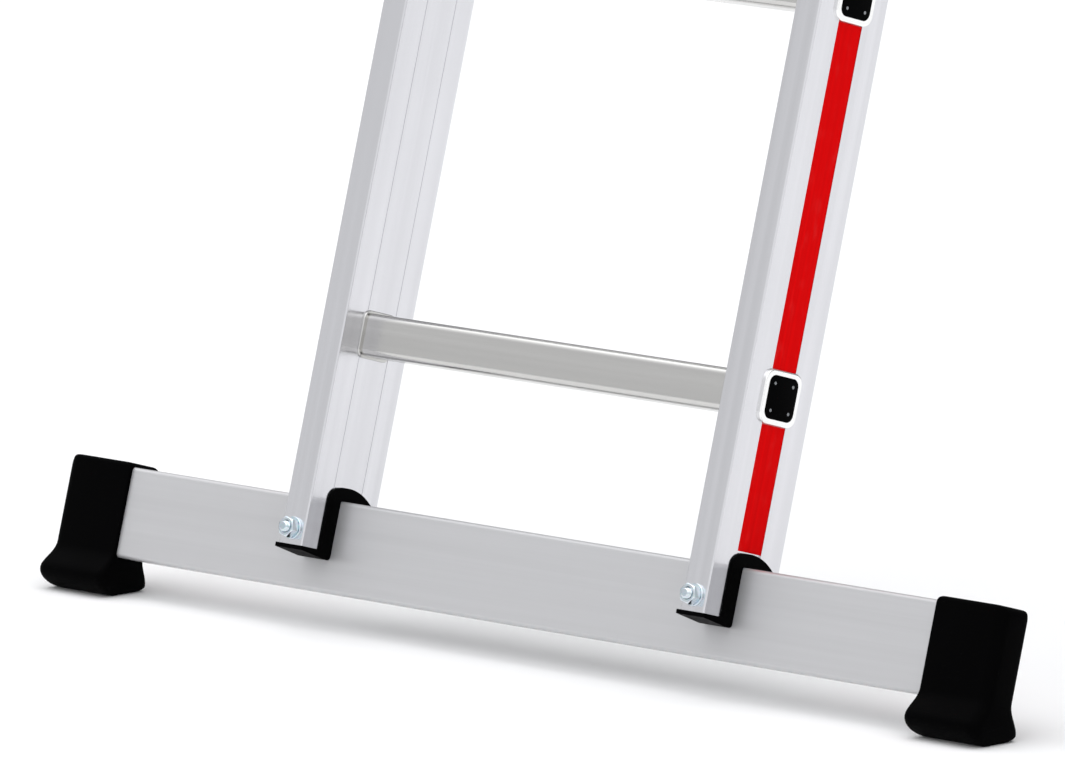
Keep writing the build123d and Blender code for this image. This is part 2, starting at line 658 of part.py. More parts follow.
def add_rivets(places, head_side, plate_face, wall_face, outward):
    """Blind rivets along X: head on plate_face, tail behind wall_face."""
    for y, z in places:
        with BuildSketch(Plane.YZ.offset(head_side * plate_face)) as head:
            with Locations((y, z)):
                Circle(RIVET_HEAD_RADIUS)
        with BuildSketch(Plane.YZ.offset(head_side * plate_face)) as shank:
            with Locations((y, z)):
                Circle(RIVET_RADIUS)
        with BuildSketch(Plane.YZ.offset(head_side * wall_face)) as tail:
            with Locations((y, z)):
                Circle(RIVET_TAIL_RADIUS)
        extrude(head.sketch, amount=outward * RIVET_HEAD, taper=RIVET_HEAD_TAPER)
        extrude(shank.sketch, amount=-outward * abs(plate_face - wall_face))
        extrude(tail.sketch, amount=-outward * RIVET_TAIL)


GUIDES = {
    "base": (BASE_FRONT, -1, BASE_GUIDE_FOOT, BASE_GUIDE_RIVETS),
    "fly": (FLY_BACK, 1, FLY_GUIDE_FOOT, FLY_GUIDE_RIVETS),
}
for section, (edge, toward, foot, rivets) in GUIDES.items():
    for name, side in SIDES.items():
        keep(make_guide(side, edge, toward, foot, rivets), f"{section}_guide_{name}")
    with BuildPart() as liners:
        for side in SIDES.values():
            add_liner(side, edge, toward, foot)
    keep(liners, f"{section}_guide_liners")
    with BuildPart() as guide_rivets:
        for side in SIDES.values():
            add_rivets(rivets, side, HALF + PLATE, HALF - SIDE_WALL, side)
    keep(guide_rivets, f"{section}_guide_rivets")


# Rung hooks -------------------------------------------------------------------------------------

PLATE_INNER = INNER - BRACKET_THICKNESS - BRACKET_RELIEF
HOOK_INNER_FACE = HOOK_OUTER_FACE - HOOK_THICKNESS
SPRING_LENGTH = 2 * SPRING_WIRE * SPRING_TURNS
PIN_NECK = HOOK_INNER_FACE - SPRING_LENGTH - 2 * SPRING_PLAY
FINGER_INNER = HOOK_REACH - HOOK_FINGER


def from_pivot(radius, angle):
    """A point of the hook's side view: angle in degrees, 0 straight down, positive to the wall."""
    return (
        PIVOT_Y + radius * sin(radians(angle)),
        PIVOT_Z - radius * cos(radians(angle)),
    )


for name, side in SIDES.items():
    with BuildPart() as bracket:
        front = FLY_FRONT + BRACKET_FRONT_INSET
        taper_start = FLY_BACK - BRACKET_BACK_INSET
        with BuildSketch(Plane.YZ.offset(side * PLATE_INNER)):
            with BuildLine():
                Polyline(
                    (front, BRACKET_FOOT),
                    (taper_start, BRACKET_FOOT),
                    (PIVOT_Y, PIVOT_Z - BRACKET_BOSS),
                )
                RadiusArc(
                    (PIVOT_Y, PIVOT_Z - BRACKET_BOSS),
                    (PIVOT_Y + BRACKET_BOSS, PIVOT_Z),
                    -BRACKET_BOSS,
                )
                Polyline(
                    (PIVOT_Y + BRACKET_BOSS, PIVOT_Z),
                    (PIVOT_Y + BRACKET_BOSS, PIVOT_Z + SPRING_LEG + BRACKET_REST),
                    (taper_start, BRACKET_FOOT + BRACKET_HEIGHT),
                    (front, BRACKET_FOOT + BRACKET_HEIGHT),
                    (front, BRACKET_FOOT),
                )
            make_face()
        extrude(amount=side * (BRACKET_THICKNESS + BRACKET_RELIEF))
        with BuildSketch(Plane.YZ.offset(side * (INNER - BRACKET_RELIEF))):
            with Locations((FLY_BACK - STILE_CORNER + STILE_DEPTH / 2, PIVOT_Z)):
                Rectangle(STILE_DEPTH, 2 * BRACKET_HEIGHT)
        extrude(amount=side * BRACKET_RELIEF, mode=Mode.SUBTRACT)
        with BuildSketch(Plane.YZ.offset(side * PLATE_INNER)):
            with Locations((PIVOT_Y, PIVOT_Z)):
                Circle(BRACKET_BOSS)
        extrude(amount=-side * BRACKET_SPACER)
        with BuildSketch(Plane.YZ.offset(side * (PLATE_INNER - BRACKET_SPACER))):
            with Locations((PIVOT_Y, PIVOT_Z)):
                Circle(PIN_RADIUS)
        extrude(amount=side * 3 * BRACKET_THICKNESS, mode=Mode.SUBTRACT)
        cut_rivet_holes(side * PLATE_INNER, side * 2 * BRACKET_THICKNESS, BRACKET_RIVETS)
    keep(bracket, f"hook_bracket_{name}")

    with BuildPart() as hook:
        with BuildSketch(Plane.YZ.offset(side * HOOK_INNER_FACE)):
            with Locations((PIVOT_Y, PIVOT_Z)):
                Circle(HOOK_BOSS_RADIUS)
            arm_length = FINGER_INNER + HOOK_FINGER / 2
            with Locations((PIVOT_Y, PIVOT_Z - arm_length / 2)):
                Rectangle(HOOK_ARM_WIDTH, arm_length)
            with BuildLine():
                Line(from_pivot(FINGER_INNER, HOOK_HEEL_ANGLE), from_pivot(HOOK_REACH, HOOK_HEEL_ANGLE))
                ThreePointArc(
                    from_pivot(HOOK_REACH, HOOK_HEEL_ANGLE),
                    from_pivot(HOOK_REACH, HOOK_TIP_ANGLE / 2),
                    from_pivot(HOOK_REACH, HOOK_TIP_ANGLE),
                )
                Line(
                    from_pivot(HOOK_REACH, HOOK_TIP_ANGLE),
                    from_pivot(FINGER_INNER, HOOK_TIP_ANGLE),
                )
                ThreePointArc(
                    from_pivot(FINGER_INNER, HOOK_TIP_ANGLE),
                    from_pivot(FINGER_INNER, HOOK_TIP_ANGLE / 2),
                    from_pivot(FINGER_INNER, HOOK_HEEL_ANGLE),
                )
            make_face()
            with Locations((PIVOT_Y, PIVOT_Z)):
                Circle(PIN_RADIUS + PIN_PLAY, mode=Mode.SUBTRACT)
        extrude(amount=side * HOOK_THICKNESS)
        with BuildSketch(Plane.YZ.offset(side * HOOK_INNER_FACE)):
            with Locations((PIVOT_Y, PIVOT_Z - GRIP_DROP)):
                RectangleRounded(GRIP_WIDTH, GRIP_HEIGHT, GRIP_CORNER)
        extrude(amount=-side * GRIP_LENGTH)
    keep(hook, f"hook_{name}")

with BuildPart() as pins:
    for side in SIDES.values():
        with BuildSketch(Plane.YZ.offset(side * PIN_NECK)):
            with Locations((PIVOT_Y, PIVOT_Z)):
                Circle(PIN_RADIUS)
        extrude(amount=side * (INNER - BRACKET_RELIEF - PIN_NECK))
        with BuildSketch(Plane.YZ.offset(side * PIN_NECK)):
            with Locations((PIVOT_Y, PIVOT_Z)):
                Circle(PIN_HEAD_RADIUS)
        extrude(amount=-side * PIN_HEAD)
keep(pins, "hook_pins")

with BuildPart() as springs:
    for side in SIDES.values():
        coil_start = HOOK_INNER_FACE - SPRING_PLAY - SPRING_WIRE
        for turn in range(SPRING_TURNS):
            centre = side * (coil_start - turn * SPRING_PITCH)
            with Locations(Location((centre, PIVOT_Y, PIVOT_Z), (0, 90, 0))):
                Torus(SPRING_RADIUS, SPRING_WIRE)
        last = side * (coil_start - (SPRING_TURNS - 1) * SPRING_PITCH)
        leg_y = PIVOT_Y + SPRING_RADIUS
        with BuildSketch(Plane.XY.offset(PIVOT_Z)):
            with Locations((last, leg_y)):
                Circle(SPRING_WIRE)
        extrude(amount=SPRING_LEG)
        with BuildSketch(Plane.YZ.offset(last)):
            with Locations((leg_y, PIVOT_Z + SPRING_LEG)):
                Circle(SPRING_WIRE)
        extrude(amount=side * (PLATE_INNER - abs(last)))
keep(springs, "hook_springs")

with BuildPart() as bracket_rivets:
    for side in SIDES.values():
        add_rivets(BRACKET_RIVETS, side, PLATE_INNER, INNER + SIDE_WALL, -side)
keep(bracket_rivets, "hook_bracket_rivets")
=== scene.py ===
import json
import math

import bmesh
import bpy
from mathutils import Matrix, Vector

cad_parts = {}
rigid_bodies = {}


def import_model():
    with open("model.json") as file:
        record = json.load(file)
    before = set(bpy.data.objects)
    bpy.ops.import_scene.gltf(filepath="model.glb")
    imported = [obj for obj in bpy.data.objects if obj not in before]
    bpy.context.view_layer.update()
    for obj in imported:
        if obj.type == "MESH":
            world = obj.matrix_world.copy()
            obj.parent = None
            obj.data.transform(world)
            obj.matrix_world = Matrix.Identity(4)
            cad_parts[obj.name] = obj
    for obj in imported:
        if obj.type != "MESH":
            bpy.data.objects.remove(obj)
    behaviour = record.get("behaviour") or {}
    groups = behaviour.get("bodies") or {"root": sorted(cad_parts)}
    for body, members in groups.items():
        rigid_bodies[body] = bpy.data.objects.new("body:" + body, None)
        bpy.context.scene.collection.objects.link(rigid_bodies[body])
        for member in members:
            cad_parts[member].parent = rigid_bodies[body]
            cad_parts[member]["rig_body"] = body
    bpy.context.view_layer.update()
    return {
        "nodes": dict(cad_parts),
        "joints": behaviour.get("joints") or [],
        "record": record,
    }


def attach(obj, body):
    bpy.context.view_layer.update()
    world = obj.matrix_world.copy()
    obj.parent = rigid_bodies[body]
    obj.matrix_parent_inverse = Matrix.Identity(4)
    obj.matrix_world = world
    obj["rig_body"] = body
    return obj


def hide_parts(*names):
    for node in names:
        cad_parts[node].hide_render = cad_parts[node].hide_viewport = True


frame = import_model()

# The ladder's own upright frame -------------------------------------------------------------
# Pieces are drawn upright, X across, Y to the wall and Z along the stiles, then leaned back as
# the CAD is. The lean is read from the axis that the fly slides along.

MM = 0.001
NODES = frame["nodes"]
JOINTS = {joint["name"]: joint for joint in frame["joints"]}
SLIDE_AXIS = Vector(JOINTS["fly_slide"]["axis"])
LEAN = math.atan2(SLIDE_AXIS.y, SLIDE_AXIS.z)
LEANED = Matrix.Rotation(-LEAN, 4, "X")
UPRIGHT = LEANED.inverted()
SIDES = {"left": -1, "right": 1}


def upright_box(node):
    """Lowest and highest corners of a CAD node in the upright frame."""
    corners = [UPRIGHT @ v.co for v in NODES[node].data.vertices]
    low = Vector(min(c[i] for c in corners) for i in range(3))
    high = Vector(max(c[i] for c in corners) for i in range(3))
    return low, high


def body_of(node):
    return NODES[node]["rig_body"]


# Materials ------------------------------------------------------------------------------------


class Surface:
    """A Principled material under construction, with its texture space in the upright frame."""

    def __init__(self, name):
        self.material = bpy.data.materials.new(name)
        self.material.use_nodes = True
        self.tree = self.material.node_tree
        self.shader = self.tree.nodes["Principled BSDF"]
        place = self.add("ShaderNodeTexCoord")
        turn = self.add("ShaderNodeMapping")
        turn.inputs["Rotation"].default_value = (LEAN, 0, 0)
        self.join(place.outputs["Object"], turn.inputs["Vector"])
        self.upright = turn.outputs["Vector"]

    def add(self, kind, **settings):
        node = self.tree.nodes.new(kind)
        for key, value in settings.items():
            setattr(node, key, value)
        return node

    def join(self, source, target):
        self.tree.links.new(source, target)

    def set(self, **values):
        for key, value in values.items():
            self.shader.inputs[key.replace("_", " ")].default_value = value

    def noise(self, per_metre, detail=3.0, rough=0.5):
        """Noise with its own count of features per metre along each upright axis."""
        stretch = self.add("ShaderNodeMapping")
        stretch.inputs["Scale"].default_value = per_metre
        texture = self.add("ShaderNodeTexNoise")
        texture.inputs["Scale"].default_value = 1.0
        texture.inputs["Detail"].default_value = detail
        texture.inputs["Roughness"].default_value = rough
        self.join(self.upright, stretch.inputs["Vector"])
        self.join(stretch.outputs["Vector"], texture.inputs["Vector"])
        return texture.outputs["Fac"]

    def sideways(self):
        """Distance from the middle of the ladder, along X."""
        split = self.add("ShaderNodeSeparateXYZ")
        distance = self.add("ShaderNodeMath", operation="ABSOLUTE")
        self.join(self.upright, split.inputs[0])
        self.join(split.outputs["X"], distance.inputs[0])
        return distance.outputs[0]

    def remap(self, source, low, high, start=0.3, end=0.7):
        """source from start..end to low..high."""
        ranged = self.add("ShaderNodeMapRange")
        for key, value in zip(("From Min", "From Max", "To Min", "To Max"), (start, end, low, high)):
            ranged.inputs[key].default_value = value
        self.join(source, ranged.inputs["Value"])
        return ranged.outputs["Result"]

    def mix(self, factor, first, second, blend="MIX"):
        """Colours mixed by a factor; each of the three is a socket or a plain value."""
        mixer = self.add("ShaderNodeMix", data_type="RGBA", blend_type=blend)
        sockets = (mixer.inputs[0], mixer.inputs[6], mixer.inputs[7])
        for socket, value in zip(sockets, (factor, first, second)):
            if isinstance(value, bpy.types.NodeSocket):
                self.join(value, socket)
            else:
                socket.default_value = value if isinstance(value, float) else (*value, 1.0)
        return mixer.outputs[2]

    def add_up(self, first, second, weight):
        """first + weight * second, for heights."""
        node = self.add("ShaderNodeMath", operation="MULTIPLY_ADD")
        self.join(second, node.inputs[0])
        node.inputs[1].default_value = weight
        self.join(first, node.inputs[2])
        return node.outputs[0]

    def bump(self, height, strength, distance):
        node = self.add("ShaderNodeBump")
        node.inputs["Strength"].default_value = strength
        node.inputs["Distance"].default_value = distance
        self.join(height, node.inputs["Height"])
        self.join(node.outputs["Normal"], self.shader.inputs["Normal"])

    def colour(self, socket):
        self.join(socket, self.shader.inputs["Base Color"])

    def roughness(self, socket):
        self.join(socket, self.shader.inputs["Roughness"])


def scaled(colour, factor):
    return tuple(channel * factor for channel in colour)


# Near-white colour painted on the rung ends as a highlight.
PAINTED_RIM_HIGHLIGHT = (0.95, 0.95, 0.94)


def streaks(along, across, length):
    """Features per metre of a streak pattern that runs along one axis."""
    counts = {axis: across for axis in "XYZ"}
    counts[along] = length
    return (counts["X"], counts["Y"], counts["Z"])


def extruded_aluminium(name, along, colour, roughness, film=0.0, metal=1.0, painted_highlight_beyond=None):
    """Extrusion with a satin mirror: die lines along it, broad tonal drift, handling scratches.
    film is the strength of a clear anodised film; less metal leaves a more even, matt etch.
    Past the distance given last, counted from the middle, the colour turns near white: a painted
    highlight on the flared rung ends."""
    surface = Surface(name)
    fine = surface.noise(streaks(along, 1500, 4), detail=2)
    broad = surface.noise(streaks(along, 120, 1.2), detail=3)
    clouds = surface.noise((9, 9, 9), detail=4)
    scratches = surface.noise(streaks(along, 60, 420), detail=6, rough=0.75)
    lines = surface.mix(surface.remap(broad, 0.0, 1.0), scaled(colour, 0.94), scaled(colour, 1.04))
    drift = surface.mix(surface.remap(clouds, 0.0, 0.5), lines, scaled(colour, 0.95))
    marks = surface.remap(scratches, 0.0, 0.3, 0.66, 0.74)
    tone = surface.mix(marks, drift, scaled(colour, 0.78))
    # Painted highlight: the colour turns near white past the given distance from the middle.
    if painted_highlight_beyond:
        fade = 0.4 * MM
        rim_highlight_mask = surface.remap(
            surface.sideways(), 0.0, 1.0, painted_highlight_beyond - fade, painted_highlight_beyond
        )
        tone = surface.mix(rim_highlight_mask, tone, PAINTED_RIM_HIGHLIGHT)
    surface.colour(tone)
    rough = surface.remap(fine, roughness - 0.03, roughness + 0.04)
    surface.roughness(surface.add_up(rough, surface.remap(clouds, -0.5, 0.5), 0.06))
    surface.bump(surface.add_up(fine, broad, 0.6), 0.05, 0.0001)
    surface.set(Metallic=metal, Coat_Weight=film, Coat_Roughness=0.1)
    return surface.material


def striped_plastic(name, colour):
    """Glossy coloured strip with faint lines along it and a little dust."""
    surface = Surface(name)
    lines = surface.noise(streaks("Z", 420, 3), detail=2)
    dust = surface.noise((140, 140, 60), detail=5)
    tone = surface.mix(surface.remap(lines, 0.0, 1.0), scaled(colour, 0.93), scaled(colour, 1.06))
    dusty = surface.remap(dust, 0.0, 0.012, 0.55, 0.75)
    surface.colour(surface.mix(dusty, tone, (0.75, 0.70, 0.68)))
    surface.roughness(surface.remap(dust, 0.34, 0.46))
    surface.bump(lines, 0.10, 0.0001)
    surface.set(Specular_IOR_Level=0.015)
    return surface.material


def moulded(name, colour, roughness, gloss, grain, grain_depth):
    """Moulded rubber or plastic: fine grain and flow marks."""
    surface = Surface(name)
    grains = surface.noise((grain, grain, grain), detail=3, rough=0.6)
    flow = surface.noise((26, 26, 12), detail=4)
    surface.colour(
        surface.mix(surface.remap(flow, 0.0, 1.0), scaled(colour, 0.8), scaled(colour, 1.25))
    )
    surface.roughness(surface.remap(flow, roughness - 0.06, roughness + 0.08))
    surface.bump(surface.add_up(grains, flow, 0.3), 0.25, grain_depth)
    surface.set(Specular_IOR_Level=gloss)
    return surface.material


def plated_steel(name, colour, tint, roughness, spangle):
    """Zinc-plated or plain steel: cloudy passivation tint, spangle and fine working marks."""
    surface = Surface(name)
    clouds = surface.noise((70, 70, 70), detail=4)
    marks = surface.noise((900, 900, 200), detail=2)
    cells = surface.add("ShaderNodeTexVoronoi")
    cells.inputs["Scale"].default_value = spangle
    surface.join(surface.upright, cells.inputs["Vector"])
    tone = surface.mix(surface.remap(clouds, 0.0, 0.8), colour, tint)
    flecked = surface.mix(0.10, tone, cells.outputs["Color"], "OVERLAY")
    surface.colour(flecked)
    rough = surface.remap(marks, roughness - 0.05, roughness + 0.08)
    surface.roughness(surface.add_up(rough, surface.remap(clouds, -0.5, 0.5), 0.08))
    surface.bump(marks, 0.15, 0.00006)
    surface.set(Metallic=1.0)
    return surface.material


def pale_floor(name):
    surface = Surface(name)
    patches = surface.noise((1.4, 1.4, 1.4), detail=3)
    grain = surface.noise((260, 260, 260), detail=2)
    darker, lighter = (0.912, 0.912, 0.912), (0.922, 0.922, 0.922)
    surface.colour(surface.mix(surface.remap(patches, 0.0, 1.0), darker, lighter))
    surface.bump(grain, 0.04, 0.0002)
    surface.set(Roughness=0.9, Specular_IOR_Level=0.1)
    return surface.material


MATERIALS = {
    "stile_aluminium": extruded_aluminium("stile_aluminium", "Z", (0.725, 0.725, 0.75), 0.16),
    # The rung ends past 199.5 mm get the painted near-white highlight.
    "rung_aluminium": extruded_aluminium(
        "rung_aluminium", "X", (0.60, 0.595, 0.58), 0.22, painted_highlight_beyond=199.5 * MM
    ),
    "traverse_aluminium": extruded_aluminium(
        "traverse_aluminium", "X", (0.53, 0.53, 0.54), 0.45, film=0.5, metal=0.55
    ),
    "red_stripe": striped_plastic("red_stripe", (0.66, 0.0008, 0.0015)),
    "foot_rubber": moulded("foot_rubber", (0.0007, 0.0007, 0.0008), 0.50, 0.012, 1800, 0.0002),
    "cap_plastic": moulded("cap_plastic", (0.0007, 0.0007, 0.0008), 0.45, 0.014, 2200, 0.0001),
    "plug_plastic": moulded("plug_plastic", (0.0007, 0.0007, 0.0008), 0.28, 0.012, 2200, 0.0001),
    # Light grey painted on the pips of the black plugs as glints; the plastic is the plugs' own black,
    # and only the extra gloss is real.
    "pips_painted_glint": moulded("pips_painted_glint", (0.20, 0.21, 0.22), 0.25, 0.5, 2200, 0.00005),
    "liner_plastic": moulded("liner_plastic", (0.006, 0.006, 0.0065), 0.38, 0.20, 1400, 0.0001),
    "zinc_fasteners": plated_steel(
        "zinc_fasteners", (0.70, 0.745, 0.775), (0.50, 0.62, 0.70), 0.13, 900
    ),
    "rivet_steel": plated_steel("rivet_steel", (0.66, 0.66, 0.67), (0.60, 0.60, 0.60), 0.30, 1200),
    "bracket_steel": plated_steel("bracket_steel", (0.66, 0.68, 0.70), (0.62, 0.66, 0.62), 0.34, 180),
    "spring_steel": plated_steel("spring_steel", (0.42, 0.43, 0.45), (0.36, 0.37, 0.40), 0.28, 1500),
}
SLOTS = {part["node"]: part["material_slot"] for part in frame["record"]["subparts"]}

for node, piece in NODES.items():
    piece.data.materials.clear()
    piece.data.materials.append(MATERIALS[SLOTS[node]])


# Mesh helpers ---------------------------------------------------------------------------------


def finish_mesh(name, mesh_data, node, smooth_below=35.0, stands_for_node=True):
    """Lean a finished bmesh back, make it an object with its node's material and body."""
    bmesh.ops.transform(mesh_data, matrix=LEANED, verts=mesh_data.verts)
    return finish_leaned(name, mesh_data, node, smooth_below, stands_for_node)


def finish_leaned(name, mesh_data, node, smooth_below=35.0, stands_for_node=True):
    """As finish_mesh, for a bmesh that already leans."""
    mesh = bpy.data.meshes.new(name)
    bmesh.ops.recalc_face_normals(mesh_data, faces=mesh_data.faces)
    mesh_data.to_mesh(mesh)
    mesh_data.free()
    mesh.polygons.foreach_set("use_smooth", [True] * len(mesh.polygons))
    mesh.set_sharp_from_angle(angle=math.radians(smooth_below))
    piece = bpy.data.objects.new(name, mesh)
    bpy.context.scene.collection.objects.link(piece)
    piece.data.materials.append(MATERIALS[SLOTS[node]])
    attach(piece, body_of(node))
    if stands_for_node:
        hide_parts(node)
    return piece


def soften(node, width, segments=2, sharper_than=30.0):
    """A copy of a CAD node with its sharp edges rounded, which stands for it."""
    rounded = bmesh.new()
    rounded.from_mesh(NODES[node].data)
    bmesh.ops.remove_doubles(rounded, verts=rounded.verts, dist=2e-6)
    bmesh.ops.dissolve_limit(
        rounded, verts=rounded.verts, edges=rounded.edges, angle_limit=math.radians(0.5)
    )
    sharp = [
        edge
        for edge in rounded.edges
        if len(edge.link_faces) == 2 and edge.calc_face_angle() > math.radians(sharper_than)
    ]
    bmesh.ops.bevel(
        rounded,
        geom=sharp,
        offset=width,
        segments=segments,
        profile=0.5,
        affect="EDGES",
        clamp_overlap=True,
    )
    bmesh.ops.triangulate(rounded, faces=[face for face in rounded.faces if len(face.verts) > 4])
    piece = finish_leaned(f"{node}_soft", rounded, node)
    by_area = piece.modifiers.new("normals_by_area", "WEIGHTED_NORMAL")
    by_area.keep_sharp = True
    by_area.weight = 100
    return piece


# Boots ----------------------------------------------------------------------------------------

FLOOR_SLOPE = math.tan(LEAN)


def rounded_outline(x_range, y_range, near_radius, far_radius, steps=6):
    """Points round a rounded rectangle; the far radius is at the second x."""
    near, far = x_range
    front, back = y_range
    out = math.copysign(1.0, far - near)
    corners = [
        (near, front, near_radius),
        (far, front, far_radius),
        (far, back, far_radius),
        (near, back, near_radius),
    ]
    directions = [(-out, 0), (0, -1), (out, 0), (0, 1), (-out, 0)]
    points = []
    for (x, y, radius), first, second in zip(corners, directions, directions[1:]):
        centre_x = x - radius * (first[0] + second[0])
        centre_y = y - radius * (first[1] + second[1])
        for step in range(steps + 1):
            turn = step / steps * math.pi / 2
            points.append(
                (
                    centre_x + radius * (first[0] * math.cos(turn) + second[0] * math.sin(turn)),
                    centre_y + radius * (first[1] * math.cos(turn) + second[1] * math.sin(turn)),
                )
            )
    return points


def corner_inset(radius, depth):
    """How far a rounded edge stands in from its side, at a depth below the top."""
    if depth >= radius:
        return 0.0
    return radius - math.sqrt(radius**2 - (radius - depth) ** 2)


def stack_rings(mesh_data, rings, cap_ends=True):
    """Join equal closed rings of points into a skin."""
    loops = [[mesh_data.verts.new(point) for point in ring] for ring in rings]
    count = len(loops[0])
    for upper, lower in zip(loops, loops[1:]):
        for i in range(count):
            j = (i + 1) % count
            mesh_data.faces.new((upper[i], upper[j], lower[j], lower[i]))
    if cap_ends:
        mesh_data.faces.new(loops[0])
        mesh_data.faces.new(loops[-1])
    return loops


def cut_away(mesh_data, cutters):
    """mesh_data less the cutters' solid, as a new bmesh."""
    bodies = []
    for name, source in (("cut_body", mesh_data), ("cut_tool", cutters)):
        bmesh.ops.recalc_face_normals(source, faces=source.faces)
        mesh = bpy.data.meshes.new(name)
        source.to_mesh(mesh)
        source.free()
        body = bpy.data.objects.new(name, mesh)
        bpy.context.scene.collection.objects.link(body)
        bodies.append(body)
    body, tool = bodies
    cut = body.modifiers.new("cut", "BOOLEAN")
    cut.operation = "DIFFERENCE"
    cut.solver = "EXACT"
    cut.object = tool
    bpy.context.view_layer.update()
    shaped = body.evaluated_get(bpy.context.evaluated_depsgraph_get())
    result = bmesh.new()
    result.from_mesh(shaped.to_mesh())
    shaped.to_mesh_clear()
    for spent in bodies:
        mesh = spent.data
        bpy.data.objects.remove(spent)
        bpy.data.meshes.remove(mesh)
    return result


def make_boot(name, side):
    """Smooth moulded boot: round-topped sleeve, waist, bulging foot, and a grooved sole."""
    node = f"traverse_foot_{name}"
    low, high = upright_box(node)
    bar_low, bar_high = upright_box("traverse")
    wall = high.z - bar_high.z
    inner_flare, outer_flare = sorted((abs(low.x), abs(high.x)))
    side_flare = 2.5 * MM
    inner, outer = inner_flare + side_flare, outer_flare - side_flare
    front, back = bar_low.y - wall, bar_high.y + wall
    toe, heel = low.y, high.y
    top, waist, bulge = high.z, 31 * MM, 10 * MM
    rings = []

    def ring(x_in, x_out, y_front, y_back, near_radius, far_radius, height):
        outline = rounded_outline((side * x_in, side * x_out), (y_front, y_back), near_radius, far_radius)
        rings.append([(x, y, height(y) if callable(height) else height) for x, y in outline])

    end_round, mouth_round, face_round = 8 * MM, 5 * MM, 2.6 * MM
    for depth in (0, 0.15, 0.5, 1.0, 1.7, 2.5, 3.5, 5.0, 6.5, 8.0):
        depth *= MM
        face = corner_inset(face_round, depth)
        end = corner_inset(end_round, depth)
        ring(
            inner + corner_inset(mouth_round, depth),
            outer - end,
            front + face,
            back - face,
            1.5 * MM,
            max(8 * MM - end, 3 * MM),
            top - depth,
        )
    levels = 9
    for level in range(levels + 1):
        share = level / levels
        eased = share**1.15
        flared = eased * eased * (3 - 2 * eased)
        ring(
            inner - flared * (inner - inner_flare),
            outer + flared * (outer_flare - outer),
            front + flared * (toe - front),
            back + flared * (heel - back),
            (1.5 + 4.5 * flared) * MM,
            (8 + flared) * MM,
            waist + share * (bulge - waist),
        )
    toe_round, side_round = 20.6 * MM, 6 * MM
    flat_start = (toe + toe_round) * FLOOR_SLOPE

    for step in range(1, 11):
        angle = step / 10 * math.pi / 2
        inset, share = 1 - math.cos(angle), math.sin(angle)
        ring(
            inner_flare + inset * side_round,
            outer_flare - inset * side_round,
            toe + inset * toe_round,
            heel - inset * side_round,
            (6 - inset * 2) * MM,
            (9 - inset * 3) * MM,
            lambda y, share=share: bulge + share * (max(y * FLOOR_SLOPE, flat_start) - bulge),
        )
    boot = bmesh.new()
    stack_rings(boot, rings)

    tools = bmesh.new()
    pocket = rounded_outline((bar_low.y, bar_high.y), (bar_low.z, bar_high.z), 3 * MM, 3 * MM)
    reach = (side * (inner - 5 * MM), side * bar_high.x)
    stack_rings(tools, [[(x, y, z) for y, z in pocket] for x in reach])
    for groove in range(4):
        y = (-1.0 + 5.4 * groove) * MM
        near, far = y, y + 2 * MM
        below, roof = -2 * MM, 1.4 * MM
        corners = ((near, below), (far, below), (far, roof), (near, roof))
        slot = [(y, y * FLOOR_SLOPE + rise) for y, rise in corners]
        span = (side * (inner_flare - 5 * MM), side * (outer_flare + 5 * MM))
        stack_rings(tools, [[(x, y, z) for y, z in slot] for x in span])
    return finish_mesh(f"boot_{name}", cut_away(boot, tools), node, smooth_below=40.0)


# Fasteners --------------------------------------------------------------------------------------


def turned(mesh_data, place, direction, profile, closed=False, segments=32):
    """Turn a profile of (radius, distance) about an axis; a radius may depend on the angle."""
    start, axis = Vector(place), Vector(direction)
    across = axis.orthogonal().normalized()
    up = axis.cross(across)
    rings = []
    for radius, distance in profile:
        points = []
        for i in range(segments):
            angle = 2 * math.pi * i / segments
            r = radius(angle) if callable(radius) else radius
            d = distance(angle) if callable(distance) else distance
            points.append(start + axis * d + (across * math.cos(angle) + up * math.sin(angle)) * r)
        rings.append(points)
    if closed:
        rings.append(rings[0])
    loops = stack_rings(mesh_data, rings, cap_ends=not closed)
    if closed:
        bmesh.ops.remove_doubles(mesh_data, verts=loops[0] + loops[-1], dist=1e-7)


def hexagon(across_flats):
    """Radius of a hexagon at an angle."""
    third = math.pi / 3

    def radius(angle):
        return across_flats / 2 / math.cos((angle % third) - third / 2)

    return radius


def hex_profile(across_flats, thickness):
    """(radius, distance) of a hexagon whose corners are turned down at 30 degrees."""
    sides = hexagon(across_flats)
    crown = across_flats * 0.475
    fall = math.tan(math.radians(30))

    def lower(angle):
        return (sides(angle) - crown) * fall

    def upper(angle):
        return thickness - (sides(angle) - crown) * fall

    return [(crown, 0.0), (sides, lower), (sides, upper), (crown, thickness)]


def bolt_places():
    """Middles of the two bolts, read from their nuts."""
    nuts = [UPRIGHT @ v.co for v in NODES["traverse_nuts"].data.vertices]
    places = []
    for side in SIDES.values():
        own = [p for p in nuts if p.x * side > 0]
        places.append(
            (
                (min(p.x for p in own) + max(p.x for p in own)) / 2,
                (min(p.z for p in own) + max(p.z for p in own)) / 2,
            )
        )
    return places


ACROSS_FLATS = 13 * MM


